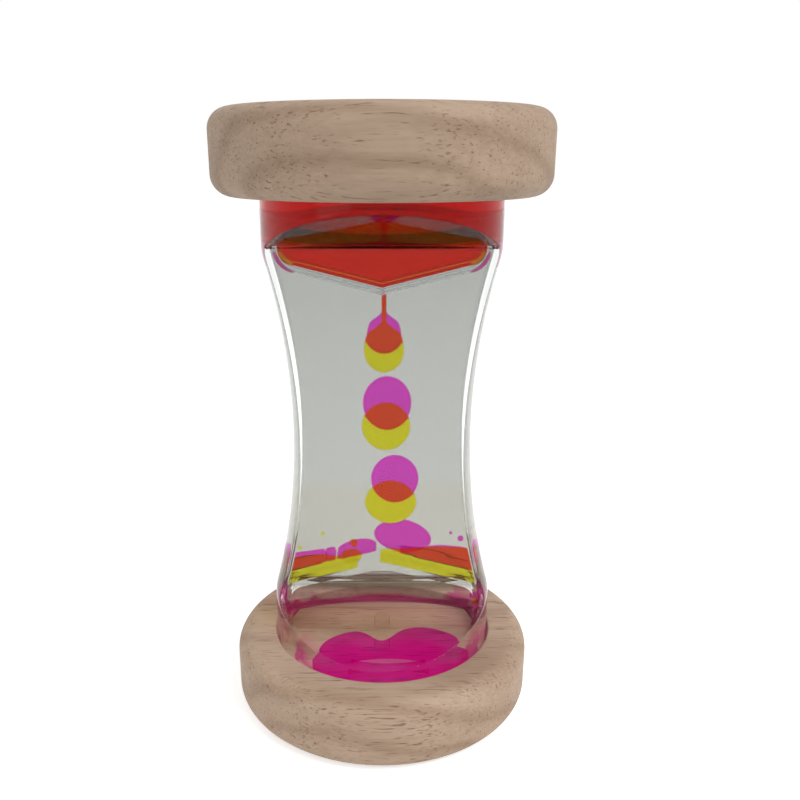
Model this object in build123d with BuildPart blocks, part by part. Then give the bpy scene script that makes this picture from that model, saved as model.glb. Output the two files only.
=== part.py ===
"""Liquid motion timer: a clear hourglass shell between two wooden discs, with two liquid cells inside.

Millimetres, +Z up, origin at the centre of the lower disc's underside, the viewer on the -Y side.
The front cell holds yellow liquid and the back cell magenta liquid, and a clear plate divides them.
Each cell has a V shaped drip tray near its top and the same tray upside down near its bottom.
The timer works either way up, so the lower half of every rigid piece mirrors the upper half.
"""
import os
from math import cos, radians, sin, sqrt, tan

from build123d import *

# Whole timer
overall_height = 144.0

# Wooden discs
disc_diameter = 75.0
disc_thickness = 18.0
disc_edge_radius = 4.5
seat_depth = 8.0
seat_gap = 0.4
seat_edge_chamfer = 0.5

# Clear hourglass body
end_diameter = 54.6
waist_diameter = 43.2
flare_height = 84.0
flare_blend_radius = 12.0
window_thickness = 19.0
window_height = 87.0
shoulder_angle = 24.0
shoulder_blend_radius = 2.5
wall_thickness = 1.6

# Pieces bonded inside the shell
fit_gap = 0.1
divider_thickness = 1.5
cap_thickness = 3.0
fill_hole_diameter = 4.0
fill_hole_offset = 5.0
plug_nub_diameter = 2.8
plug_nub_height = 1.2
plug_gap = 0.05

# Drip trays
ridge_to_middle = 33.0
tray_plate_thickness = 1.5
tray_wall_thickness = 0.9
tray_to_end_wall = 2.7
tray_corner_radius = 4.0
tray_lip_to_middle = 44.5
ramp_angle = 14.0
drip_hole_diameter = 1.4

# Liquids
film = 0.1
store_top_gap = 4.0
drop_wall_gap = 0.4
drop_rim_radius = 1.6
drop_rim_share = 0.4
thread_diameter = 1.0
thread_gap = 0.3
pool_depth = 7.0
pool_corner_radius = 0.9
pool_gap = 0.25
floor_pool_depth = 2.6
floor_pool_edge_radius = 0.8
lane_gap = 1.0
column_over_roof = 10.3

# Falling drops, highest first: middle across, height over the roof's ridge, half width, rise and fall
magenta_drop_middles = (0.5, 1.25, 3.2)
magenta_drop_heights = (54.5, 38.3, 18.6)
magenta_drop_half_widths = (4.0, 5.75, 5.8)
magenta_drop_rises = (6.3, 6.5, 6.0)
magenta_drop_falls = (3.9, 6.6, 6.1)
yellow_drop_middles = (0.45, 0.95, 2.1)
yellow_drop_heights = (52.8, 34.6, 15.2)
yellow_drop_half_widths = (4.5, 5.6, 6.1)
yellow_drop_rises = (7.0, 5.7, 5.3)
yellow_drop_falls = (5.0, 5.8, 5.3)

# Drops that have landed or are about to
landed_drop_middle = 5.3
landed_drop_half_width = 7.3
landed_drop_rise = 4.2
landed_drop_fall = 4.0
small_drop_middle = -7.6
small_drop_height = 0.7
small_drop_half_width = 2.6
small_drop_half_height = 1.6
bead_radius = 1.0
bead_to_wall = 1.8
bead_lane_gap = 0.7
magenta_bead_fall = 2.3
yellow_bead_fall = 1.5
bead_from_divider = 2.6

# Pool outlines: places across as shares of the tray half width, heights over the ramp as shares of depth
yellow_right_pool_shares = ((-0.02, -0.2), (-0.02, 0.1), (0.06, 0.25), (0.58, 0.75), (0.93, 0.97),
                            (1.25, 1.2), (1.25, -0.8))
yellow_left_pool_shares = ((-0.3, -0.2), (-0.3, 0.04), (-0.5, 0.27), (-0.9, 0.52), (-1.25, 0.62),
                           (-1.25, -0.3))
magenta_right_pool_shares = ((0.24, -0.2), (0.24, 0.04), (0.46, 0.28), (0.62, 0.62), (0.88, 0.77),
                             (1.12, 0.6), (1.12, -0.6))
magenta_left_pool_shares = ((-0.62, -0.2), (-0.69, 0.42), (-0.95, 0.55), (-1.25, 0.6), (-1.25, -0.3))
magenta_strip_pool_shares = ((-0.53, -0.2), (-0.56, 0.36), (-0.665, 0.38), (-0.6, -0.2))
magenta_blob_pool_shares = ((-0.08, -0.15), (-0.1, 0.16), (-0.25, 0.42), (-0.42, 0.44), (-0.515, 0.2),
                            (-0.47, -0.15))

# Floor pool outline, then the bare patch in it, as shares of the chamber's radius
floor_pool_shares = ((-0.6, -0.42), (-0.38, -0.21), (-0.2, -0.19), (0.0, -0.33), (0.16, -0.19), (0.34, -0.11),
                     (0.58, -0.16), (0.76, -0.32), (0.7, -0.56), (0.42, -0.82), (0.0, -0.91), (-0.4, -0.82))
bare_patch_middle = 1.5
bare_patch_from_divider = 15.6
bare_patch_half_width = 9.0
bare_patch_half_depth = 2.2

# Specks: place across, height over the roof's ridge, radius
yellow_speck_middles = (-7.0, -14.7, -20.5)
yellow_speck_heights = (4.2, 6.8, 2.8)
yellow_speck_radii = (0.95, 0.5, 0.5)
magenta_speck_middles = (20.2, 17.6)
magenta_speck_heights = (2.2, 3.8)
magenta_speck_radii = (0.75, 0.4)

# Worked out from the sizes above
middle = overall_height / 2
body_low = disc_thickness - seat_depth
body_high = overall_height - body_low
chamber_low = body_low + cap_thickness
chamber_high = body_high - cap_thickness
inner_end_radius = end_diameter / 2 - wall_thickness
tray_half_width = inner_end_radius - tray_to_end_wall
bead_middle = inner_end_radius - bead_to_wall
divider_face = divider_thickness / 2
window_face = window_thickness / 2 - wall_thickness
cell_middle = (divider_face + window_face) / 2
drop_thickness = window_face - divider_face - drop_wall_gap - drop_wall_gap
ramp_slope = tan(radians(ramp_angle))
plate_rise = tray_plate_thickness / cos(radians(ramp_angle))
roof_ridge = middle - ridge_to_middle
upper_ridge = middle + ridge_to_middle
midline = Plane.XY.offset(middle)
full_width = disc_diameter

os.makedirs("parts", exist_ok=True)


def save(builder, name):
    """Label a finished piece and write it to its own file."""
    builder.part.label = name
    export_step(builder.part, "parts/" + name + ".step")


def flare_curve(inset):
    """Radius of the long curve that flares from the waist, and how far from the middle it reaches."""
    flare = (end_diameter - waist_diameter) / 2
    flare_radius = (flare_height ** 2 / 4 + flare ** 2) / (flare + flare) + inset
    return flare_radius, sqrt(flare * (flare_radius + flare_radius - flare))


def flared_column(inset, low, high):
    """The round form inside the long curve, between two heights."""
    flare_radius, flare_reach = flare_curve(inset)
    waist_radius = waist_diameter / 2 - inset
    low_radius, high_radius = (waist_radius + flare_radius - sqrt(flare_radius ** 2 - (height - middle) ** 2)
                               for height in (low, high))
    with BuildPart() as column:
        with BuildSketch(Plane.XZ):
            with BuildLine():
                Polyline((high_radius, high), (0, high), (0, low), (low_radius, low))
                ThreePointArc((low_radius, low), (waist_radius, middle), (high_radius, high))
            make_face()
        revolve(axis=Axis.Z)
    return column.part


def hourglass(inset):
    """The hourglass form, drawn in by the inset on all sides but its two flat ends."""
    end_radius = end_diameter / 2 - inset
    waist_radius = waist_diameter / 2 - inset
    flare_radius, flare_reach = flare_curve(inset)
    window_y = window_thickness / 2 - inset
    slope = tan(radians(shoulder_angle))
    window_reach = window_height / 2 + inset / cos(radians(shoulder_angle)) - inset * slope
    shoulder_reach = window_reach + (full_width - window_y) * slope
    with BuildPart() as form:
        with BuildSketch(Plane.XZ) as profile:
            with BuildLine():
                Polyline((0, middle), (0, body_low), (end_radius, body_low),
                         (end_radius, middle - flare_reach))
                ThreePointArc((end_radius, middle - flare_reach), (waist_radius, middle),
                              (end_radius, middle + flare_reach))
                Polyline((end_radius, middle + flare_reach), (end_radius, body_high), (0, body_high),
                         (0, middle))
            make_face()
            flare_ends = profile.vertices().filter_by_position(Axis.Y, middle - flare_reach - inset - fit_gap,
                                                               middle + flare_reach + inset + fit_gap)
            fillet(flare_ends.sort_by(Axis.X)[-2:], flare_blend_radius - inset)
        revolve(axis=Axis.Z)
        for side in (-1, 1):
            with BuildSketch(Plane.YZ) as notch:
                with BuildLine():
                    Polyline((side * window_y, middle - window_reach),
                             (side * full_width, middle - shoulder_reach),
                             (side * full_width, middle + shoulder_reach),
                             (side * window_y, middle + window_reach), close=True)
                make_face()
                window_edges = notch.vertices().sort_by(Axis.X)
                fillet(window_edges[-2:] if side < 0 else window_edges[:2], shoulder_blend_radius + inset)
            extrude(amount=full_width, both=True, mode=Mode.SUBTRACT)
    return form.part


def tray_outline(half_width, ridge, corner_radius, top):
    """Face bounded by the V of a tray below, its end walls at the sides and a level line on top."""
    corner = ridge + half_width * ramp_slope
    with BuildSketch(Plane.XZ) as outline:
        with BuildLine():
            Polyline((0, ridge), (half_width, corner), (half_width, top), (-half_width, top),
                     (-half_width, corner), close=True)
        make_face()
        low_corners = outline.vertices().group_by(Axis.Y)[1]
        fillet(low_corners, corner_radius)
    return outline.sketch


def tray_outer(growth):
    """Outside outline of an upper tray, grown by a gap."""
    return tray_outline(tray_half_width + tray_wall_thickness + growth,
                        upper_ridge - growth / cos(radians(ramp_angle)),
                        tray_corner_radius + tray_wall_thickness + growth, middle + tray_lip_to_middle + growth)


def tray_inner(shrink):
    """Inside outline of an upper tray, drawn in by a gap."""
    return tray_outline(tray_half_width - shrink, upper_ridge + plate_rise + shrink / cos(radians(ramp_angle)),
                        tray_corner_radius - shrink, middle + tray_lip_to_middle + film)


def ramp_height(across):
    """Height of the lower tray's roof at a place across it."""
    return roof_ridge - abs(across) * ramp_slope


# Inner forms that the pieces inside the shell are cut to
bonded_form = hourglass(wall_thickness + fit_gap)
liquid_form = hourglass(wall_thickness + film)

# Lower wooden disc, with the upper one as its mirror image
with BuildPart() as lower_wood_disc:
    with BuildSketch(Plane.XZ) as disc_profile:
        with BuildLine():
            Polyline((0, 0), (disc_diameter / 2, 0), (disc_diameter / 2, disc_thickness), (0, disc_thickness),
                     close=True)
        make_face()
        fillet(disc_profile.vertices().sort_by(Axis.X)[-2:], disc_edge_radius)
    revolve(axis=Axis.Z)
    with BuildSketch(Plane.XY.offset(body_low)):
        Circle(end_diameter / 2 + seat_gap)
    extrude(amount=seat_depth, mode=Mode.SUBTRACT)
    seat_rim = lower_wood_disc.edges().filter_by(GeomType.CIRCLE).group_by(Axis.Z)[-1].sort_by(SortBy.RADIUS)[0]
    chamfer(seat_rim, seat_edge_chamfer)
save(lower_wood_disc, "lower_wood_disc")

with BuildPart() as upper_wood_disc:
    add(mirror(lower_wood_disc.part, about=midline, mode=Mode.PRIVATE))
save(upper_wood_disc, "upper_wood_disc")

# Clear hourglass shell, open at both ends
with BuildPart() as clear_body:
    add(hourglass(0))
    add(hourglass(wall_thickness), mode=Mode.SUBTRACT)
save(clear_body, "clear_body")

# End caps: the lower one has a filling hole for each cell
with BuildPart() as lower_end_cap:
    with BuildSketch(Plane.XY.offset(body_low)):
        Circle(inner_end_radius - fit_gap)
        with Locations((0, -fill_hole_offset), (0, fill_hole_offset)):
            Circle(fill_hole_diameter / 2, mode=Mode.SUBTRACT)
    extrude(amount=cap_thickness)
save(lower_end_cap, "lower_end_cap")

with BuildPart() as upper_end_cap:
    with BuildSketch(Plane.XY.offset(chamber_high)):
        Circle(inner_end_radius - fit_gap)
    extrude(amount=cap_thickness)
save(upper_end_cap, "upper_end_cap")

# Filling plugs, flush below and with a round nub inside the chamber
for side, name in ((-1, "front_fill_plug"), (1, "back_fill_plug")):
    with BuildPart() as fill_plug:
        with BuildSketch(Plane.XY.offset(body_low)):
            with Locations((0, side * fill_hole_offset)):
                Circle(fill_hole_diameter / 2 - plug_gap)
        extrude(amount=cap_thickness)
        with BuildSketch(Plane.XY.offset(chamber_low)):
            with Locations((0, side * fill_hole_offset)):
                Circle(plug_nub_diameter / 2)
        extrude(amount=plug_nub_height)
        fillet(fill_plug.edges().group_by(Axis.Z)[-1], plug_nub_height / 2)
    save(fill_plug, name)

# Divider plate between the cells, from cap to cap
with BuildPart() as divider_plate:
    with BuildSketch(Plane.XZ.offset(-divider_face)):
        with Locations((0, middle)):
            Rectangle(end_diameter, chamber_high - chamber_low - fit_gap)
    extrude(amount=divider_thickness)
    add(bonded_form, mode=Mode.INTERSECT)
save(divider_plate, "divider_plate")

# Drip trays: the upper front one is drawn, and the other three are its mirror images
with BuildPart() as upper_front_tray:
    with BuildSketch(Plane.XZ.offset(divider_face)):
        add(tray_outer(0))
        add(tray_inner(0), mode=Mode.SUBTRACT)
    extrude(amount=window_face - divider_face)
    with BuildSketch(Plane.XY.offset(upper_ridge)):
        with Locations((0, -cell_middle)):
            Circle(drip_hole_diameter / 2)
    extrude(amount=plate_rise + plate_rise, both=True, mode=Mode.SUBTRACT)
    add(bonded_form, mode=Mode.INTERSECT)
save(upper_front_tray, "upper_front_tray")

with BuildPart() as upper_back_tray:
    add(mirror(upper_front_tray.part, about=Plane.XZ, mode=Mode.PRIVATE))
save(upper_back_tray, "upper_back_tray")

with BuildPart() as lower_front_tray:
    add(mirror(upper_front_tray.part, about=midline, mode=Mode.PRIVATE))
save(lower_front_tray, "lower_front_tray")

with BuildPart() as lower_back_tray:
    add(mirror(upper_back_tray.part, about=midline, mode=Mode.PRIVATE))
save(lower_back_tray, "lower_back_tray")


def cell_plane(side, from_divider):
    """Upright plane in a cell, facing away from the divider."""
    facing = Plane.XZ if side < 0 else Plane(origin=(0, 0, 0), x_dir=(-1, 0, 0), z_dir=(0, 1, 0))
    return facing.offset(divider_face + from_divider)


# Coloured liquid stored above the upper trays, down to the drip holes
store_top = chamber_high - store_top_gap
with BuildPart() as yellow_store:
    with BuildSketch(cell_plane(-1, film)):
        add(tray_inner(film))
        with Locations((0, (middle + tray_lip_to_middle + film + store_top) / 2)):
            Rectangle(end_diameter, store_top - middle - tray_lip_to_middle - film)
    extrude(amount=end_diameter)
    with BuildSketch(Plane.XY.offset(upper_ridge)):
        with Locations((0, -cell_middle)):
            Circle(drip_hole_diameter / 2 - film)
    extrude(amount=plate_rise + film + film)
    add(liquid_form, mode=Mode.INTERSECT)
save(yellow_store, "yellow_store")

with BuildPart() as magenta_store:
    add(mirror(yellow_store.part, about=Plane.XZ, mode=Mode.PRIVATE))
save(magenta_store, "magenta_store")


def squeezed_drop(side, place, half_width, rise, fall, lean=0.0, tail=0.0):
    """A drop pressed flat between divider and window, egg shaped from the front, with a round rim.

    The lean turns it in the plane of the window, and a tail is the thread that still holds it.
    """
    centre = Vector(place[0], side * cell_middle + drop_thickness / 2, place[1])
    facing = Plane(origin=centre, x_dir=(cos(radians(lean)), 0, sin(radians(lean))), z_dir=(0, -1, 0))
    with BuildPart() as drop:
        with BuildSketch(facing):
            with BuildLine():
                Spline((0, -fall), (half_width, 0), (0, rise), (-half_width, 0), periodic=True)
            make_face()
        extrude(amount=drop_thickness)
        fillet(drop.edges(), min(drop_rim_radius, rise * drop_rim_share, fall * drop_rim_share))
        if tail:
            with BuildSketch(Plane.XY.offset(place[1])):
                with Locations((place[0], side * cell_middle)):
                    Circle(thread_diameter / 2)
            extrude(amount=tail)
    return drop


# Falling drops: the first of each colour still hangs on its thread
for colour, side, middles, heights, half_widths, rises, falls in (
        ("magenta", 1, magenta_drop_middles, magenta_drop_heights, magenta_drop_half_widths, magenta_drop_rises,
         magenta_drop_falls),
        ("yellow", -1, yellow_drop_middles, yellow_drop_heights, yellow_drop_half_widths, yellow_drop_rises,
         yellow_drop_falls)):
    for index, place in enumerate(zip(middles, [roof_ridge + height for height in heights])):
        tail = upper_ridge - thread_gap - place[1] if index == 0 else 0.0
        falling_drop = squeezed_drop(side, place, half_widths[index], rises[index], falls[index], tail=tail)
        save(falling_drop, colour + "_drop_" + str(index + 1))

small_yellow_drop = squeezed_drop(-1, (small_drop_middle, roof_ridge + small_drop_height), small_drop_half_width,
                                  small_drop_half_height, small_drop_half_height)
save(small_yellow_drop, "small_yellow_drop")


def roof_body(growth):
    """The space under the lower trays' roof, grown by a gap, as one block across both cells."""
    with BuildPart() as block:
        with BuildSketch(Plane.XZ):
            add(tray_outer(growth))
        extrude(amount=window_thickness, both=True)
    return mirror(block.part, about=midline)


roof_block = roof_body(film)


def pool(side, outline_shares, growth):
    """Liquid lying on the roof of a lower tray, across the depth of its cell."""
    points = []
    for across_share, depth_share in outline_shares:
        across = across_share * tray_half_width
        points.append((-side * across, ramp_height(across) + depth_share * pool_depth))
    with BuildPart() as puddle:
        with BuildSketch(cell_plane(side, drop_wall_gap)) as outline:
            with BuildLine():
                Polyline(points, close=True)
            make_face()
            fillet([corner for corner in outline.vertices() if corner.Y > ramp_height(corner.X)], pool_corner_radius)
            if growth:
                offset(amount=growth)
        extrude(amount=drop_thickness)
        add(liquid_form, mode=Mode.INTERSECT)
        add(roof_block, mode=Mode.SUBTRACT)
    return puddle


for name, side, outline_shares in (("yellow_right_pool", -1, yellow_right_pool_shares),
                                   ("yellow_left_pool", -1, yellow_left_pool_shares),
                                   ("magenta_right_pool", 1, magenta_right_pool_shares),
                                   ("magenta_left_pool", 1, magenta_left_pool_shares),
                                   ("magenta_strip_pool", 1, magenta_strip_pool_shares),
                                   ("magenta_blob_pool", 1, magenta_blob_pool_shares)):
    roof_pool = pool(side, outline_shares, 0)
    save(roof_pool, name)

# Landed magenta drop, leaning on the ramp beside the right pool
landed_place = (landed_drop_middle, ramp_height(landed_drop_middle) + landed_drop_fall)
landed_egg = squeezed_drop(1, landed_place, landed_drop_half_width, landed_drop_rise, landed_drop_fall,
                           lean=-ramp_angle)
right_pool_room = pool(1, magenta_right_pool_shares, pool_gap)
with BuildPart() as magenta_landed_drop:
    add(landed_egg.part)
    add(right_pool_room.part, mode=Mode.SUBTRACT)
    add(roof_block, mode=Mode.SUBTRACT)
save(magenta_landed_drop, "magenta_landed_drop")

# Beads dripping off the right end of the roof into the bottom chamber
for name, side, fall in (("magenta_bead", 1, magenta_bead_fall), ("yellow_bead", -1, yellow_bead_fall)):
    bead_height = middle - tray_lip_to_middle - fall
    with BuildPart() as bead:
        with Locations((bead_middle, side * (divider_face + bead_from_divider), bead_height)):
            Sphere(bead_radius)
    save(bead, name)

# Magenta pool on the floor of the bottom chamber, drawn in round the plug's nub, with a bare patch
with BuildPart() as magenta_floor_pool:
    with BuildSketch(Plane.XY.offset(chamber_low + film)):
        with BuildLine():
            Spline([(across * inner_end_radius, deep * inner_end_radius)
                    for across, deep in floor_pool_shares], periodic=True)
        make_face()
        with Locations((bare_patch_middle, -bare_patch_from_divider)):
            Ellipse(bare_patch_half_width, bare_patch_half_depth, mode=Mode.SUBTRACT)
        with Locations((0, -fill_hole_offset)):
            Circle(plug_nub_diameter / 2 + pool_gap, mode=Mode.SUBTRACT)
    extrude(amount=floor_pool_depth)
    fillet(magenta_floor_pool.edges().group_by(Axis.Z)[-1], floor_pool_edge_radius)
save(magenta_floor_pool, "magenta_floor_pool")

# Specks of colour that drift beside the pools
for name, side, middles, heights, radii in (
        ("yellow_specks", -1, yellow_speck_middles, yellow_speck_heights, yellow_speck_radii),
        ("magenta_specks", 1, magenta_speck_middles, magenta_speck_heights, magenta_speck_radii)):
    with BuildPart() as specks:
        for across, height, radius in zip(middles, heights, radii):
            with Locations((across, side * cell_middle, roof_ridge + height)):
                Sphere(radius)
    save(specks, name)

# Clear oil: the column between the trays, left open along the lane of the drops, and the bottom chamber
lane_half_width = max(yellow_drop_half_widths) + max(magenta_drop_middles) + lane_gap
column_low = roof_ridge + column_over_roof
column_high = upper_ridge - film - film
oil_column = flared_column(wall_thickness + film, column_low, column_high)
for name, side in (("clear_oil_front", -1), ("clear_oil_back", 1)):
    with BuildPart() as clear_oil:
        with BuildSketch(cell_plane(side, film)):
            for edge in (-1, 1):
                with Locations((edge * (end_diameter / 2 + lane_half_width) / 2, (column_low + column_high) / 2)):
                    Rectangle(end_diameter / 2 - lane_half_width, overall_height)
        extrude(amount=window_face - divider_face - film - film)
        add(oil_column, mode=Mode.INTERSECT)
    save(clear_oil, name)

chamber_oil_low = chamber_low + floor_pool_depth + film + film
chamber_oil_high = middle - tray_lip_to_middle - film
for name, side in (("chamber_oil_front", -1), ("chamber_oil_back", 1)):
    with BuildPart() as chamber_oil:
        with BuildSketch(cell_plane(side, film)):
            with Locations((0, (chamber_oil_low + chamber_oil_high) / 2)):
                Rectangle(end_diameter, chamber_oil_high - chamber_oil_low)
        extrude(amount=end_diameter)
        add(liquid_form, mode=Mode.INTERSECT)
        with BuildSketch(Plane.XY.offset(chamber_oil_low)):
            with Locations((bead_middle, side * (divider_face + bead_from_divider))):
                Circle(bead_radius + bead_lane_gap)
        extrude(amount=chamber_oil_high, mode=Mode.SUBTRACT)
    save(chamber_oil, name)
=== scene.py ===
"""Looks of the liquid motion timer, built round its CAD frame.

Lengths are in millimetres until a mesh is made, +Z is up and the front window faces -Y. The clear body is
one high polish shell, the wood is turned from solid board with its grain along X, and each coloured liquid
is a tinted, see-through form of its own.
"""
import math

import bmesh
import bpy
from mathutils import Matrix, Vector


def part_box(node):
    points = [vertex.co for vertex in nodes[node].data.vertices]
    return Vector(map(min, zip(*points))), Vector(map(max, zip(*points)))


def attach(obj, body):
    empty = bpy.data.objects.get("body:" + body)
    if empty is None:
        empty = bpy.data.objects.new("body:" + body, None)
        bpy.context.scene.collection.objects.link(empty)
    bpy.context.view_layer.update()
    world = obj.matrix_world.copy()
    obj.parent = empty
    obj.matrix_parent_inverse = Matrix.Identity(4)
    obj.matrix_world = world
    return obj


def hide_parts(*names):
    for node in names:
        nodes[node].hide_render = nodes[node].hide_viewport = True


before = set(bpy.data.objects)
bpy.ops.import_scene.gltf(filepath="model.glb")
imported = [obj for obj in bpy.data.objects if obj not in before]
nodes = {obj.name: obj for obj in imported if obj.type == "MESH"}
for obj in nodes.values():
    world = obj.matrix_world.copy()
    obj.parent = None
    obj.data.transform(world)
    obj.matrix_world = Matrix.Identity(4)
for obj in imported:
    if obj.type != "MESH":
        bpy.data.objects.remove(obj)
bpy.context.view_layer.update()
MM = 0.001
ROOT = "timer"
SAME_SPOT = 1e-8


def span(node):
    """Lowest and highest corner of a CAD node in millimetres."""
    low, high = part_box(node)
    return [v / MM for v in low], [v / MM for v in high]


# ---- sizes, read from the frame where it has them ----
disc_high = span("lower_wood_disc")[1]
DISC_RADIUS = disc_high[0]
DISC_THICKNESS = disc_high[2]
DISC_EDGE = 4.5
SEAT_DEPTH = 8.0
SEAT_GAP = 0.4
SEAT_CHAMFER = 0.5
SEAT_RELIEF = 0.06
body_low, body_high = span("clear_body")
BODY_LOW, BODY_HIGH = body_low[2], body_high[2]
MIDDLE = (BODY_LOW + BODY_HIGH) / 2
END_RADIUS = body_high[0]
WAIST_RADIUS = 21.6
FLARE_REACH = 42.0
FLARE_BLEND = 1.6
OUTER_CORNER, INNER_CORNER = 0.55, 0.35
WINDOW_HALF = 9.5
WINDOW_REACH = 43.5
SHOULDER_ANGLE = math.radians(24)
SHOULDER_BLEND = 2.5
WALL = 1.6
DIVIDER_FACE = span("divider_plate")[1][1]
WINDOW_FACE = WINDOW_HALF - WALL
CELL_MIDDLE = (DIVIDER_FACE + WINDOW_FACE) / 2
# hairline gaps, so that no two clear faces lie in one plane
FILM = 0.1
SHEET_RELIEF = 0.04
BEFORE_WALL = 0.15
# drip trays
ROOF_RIDGE = 39.0
RAMP_SLOPE = math.tan(math.radians(14))
TRAY_HALF_WIDTH = 23.0
TRAY_CORNER = 4.0
TRAY_PLATE = 1.55
STORE_TO_CAP = 0.4


# ---- meshes ----
def make_piece(name, points, faces, material, body=ROOT):
    """A smooth shaded piece from points in millimetres, riding on a body."""
    mesh = bpy.data.meshes.new(name)
    mesh.from_pydata([(x * MM, y * MM, z * MM) for x, y, z in points], [], faces)
    tidy = bmesh.new()
    tidy.from_mesh(mesh)
    bmesh.ops.remove_doubles(tidy, verts=tidy.verts, dist=SAME_SPOT)
    bmesh.ops.dissolve_degenerate(tidy, edges=tidy.edges, dist=SAME_SPOT)
    bmesh.ops.recalc_face_normals(tidy, faces=tidy.faces)
    tidy.to_mesh(mesh)
    tidy.free()
    mesh.polygons.foreach_set("use_smooth", [True] * len(mesh.polygons))
    mesh.materials.append(material)
    piece = bpy.data.objects.new(name, mesh)
    bpy.context.scene.collection.objects.link(piece)
    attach(piece, body)
    return piece


def grid_faces(rows, columns, closed_rows=False):
    """Quads of a grid of points stored row by row, each row a closed loop."""
    faces = []
    for row in range(rows if closed_rows else rows - 1):
        for column in range(columns):
            after, right = (row + 1) % rows, (column + 1) % columns
            faces.append((row * columns + column, row * columns + right, after * columns + right,
                          after * columns + column))
    return faces


def flat_faces(piece):
    """Sharp edges, for a piece of flat faces."""
    piece.data.polygons.foreach_set("use_smooth", [False] * len(piece.data.polygons))


def turned(profile):
    """Points and faces of a closed profile of (radius, height) turned round the Z axis."""
    steps = 192
    points = []
    for radius, height in profile:
        for step in range(steps):
            turn = 2 * math.pi * step / steps
            points.append((radius * math.cos(turn), radius * math.sin(turn), height))
    return points, grid_faces(len(profile), steps)


def arc(centre_x, centre_y, radius, start, end, steps):
    """Points on an arc, angles in degrees."""
    turns = [math.radians(start + (end - start) * i / steps) for i in range(steps + 1)]
    return [(centre_x + radius * math.cos(turn), centre_y + radius * math.sin(turn)) for turn in turns]


def wooden_disc(name, material, flipped):
    """Turned disc with generously rounded rims and a blind seat for the clear body."""
    seat_radius = END_RADIUS + SEAT_GAP
    seat_floor = DISC_THICKNESS - SEAT_DEPTH - SEAT_RELIEF
    inner = DISC_RADIUS - DISC_EDGE
    chamfer_start = seat_radius + SEAT_CHAMFER
    near, beside_corner = 0.1, 0.15
    profile = [(0.0, 0.0), (inner * 0.5, 0.0), (inner - near, 0.0)]
    profile += arc(inner, DISC_EDGE, DISC_EDGE, -90, 0, 12)
    profile += arc(inner, DISC_THICKNESS - DISC_EDGE, DISC_EDGE, 0, 90, 12)
    profile += [(inner - near, DISC_THICKNESS), (chamfer_start + near, DISC_THICKNESS)]
    profile += arc(chamfer_start, DISC_THICKNESS - SEAT_CHAMFER, SEAT_CHAMFER, 90, 180, 5)
    profile += [(seat_radius, seat_floor + beside_corner), (seat_radius, seat_floor)]
    profile += [(seat_radius - beside_corner, seat_floor), (0.0, seat_floor)]
    points, faces = turned(profile)
    if flipped:
        points = [(x, y, 2 * MIDDLE - z) for x, y, z in points]
    disc = make_piece(name, points, faces, material)
    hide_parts(name.replace("turned_", ""))


def flare_radius_at(rise, inset):
    """Radius of the round form at a height above or below the middle."""
    rise = abs(rise)
    flare = END_RADIUS - WAIST_RADIUS
    bend = (FLARE_REACH ** 2 + flare ** 2) / (2 * flare) + inset
    reach = math.sqrt(flare * (2 * bend - flare))

    def on_arc(distance):
        return WAIST_RADIUS - inset + bend - math.sqrt(bend ** 2 - distance ** 2)

    if rise <= reach - FLARE_BLEND:
        return on_arc(rise)
    corner = END_RADIUS - inset
    if rise >= reach + FLARE_BLEND:
        return corner
    share = (rise - reach + FLARE_BLEND) / (2 * FLARE_BLEND)
    from_arc = (1 - share) ** 2
    return from_arc * on_arc(reach - FLARE_BLEND) + 2 * share * (1 - share) * corner + share ** 2 * corner


def window_rows(inset):
    """(distance from the middle, half thickness there) from the middle of the window to the body's end."""
    half = WINDOW_HALF - inset
    reach = WINDOW_REACH + inset / math.cos(SHOULDER_ANGLE) - inset * math.tan(SHOULDER_ANGLE)
    blend = SHOULDER_BLEND + inset
    turn = math.pi / 2 - SHOULDER_ANGLE
    tangent = blend * math.tan(turn / 2)
    flat_steps, blend_steps, slope_steps = 60, 12, 28
    rows = [((reach - tangent - 0.1) * i / flat_steps, half) for i in range(flat_steps + 1)]
    rows.append((reach - tangent, half))
    for i in range(1, blend_steps + 1):
        angle = turn * i / blend_steps
        rows.append((reach - tangent + blend * math.sin(angle), half + blend - blend * math.cos(angle)))
    start_rise, start_half = rows[-1]
    end_half = END_RADIUS - inset
    for i in [0.1] + list(range(1, slope_steps + 1)):
        share = i / slope_steps
        rows.append((start_rise + (end_half - start_half) * share * math.tan(SHOULDER_ANGLE),
                     start_half + (end_half - start_half) * share))
    last = rows[-1][0]
    end_rise = (BODY_HIGH - BODY_LOW) / 2
    for share in (0.02, 0.1, 0.4, 0.7, 0.98, 1.0):
        rows.append((last + (end_rise - last) * share, end_half + 1.0))
    return rows


def half_at(rows, rise, otherwise):
    """Half thickness at a distance from the middle, read between two of the window rows."""
    for (low, low_half), (high, high_half) in zip(rows, rows[1:]):
        if low <= rise <= high:
            return low_half + (high_half - low_half) * (rise - low) / max(high - low, 1e-9)
    return otherwise


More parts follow.
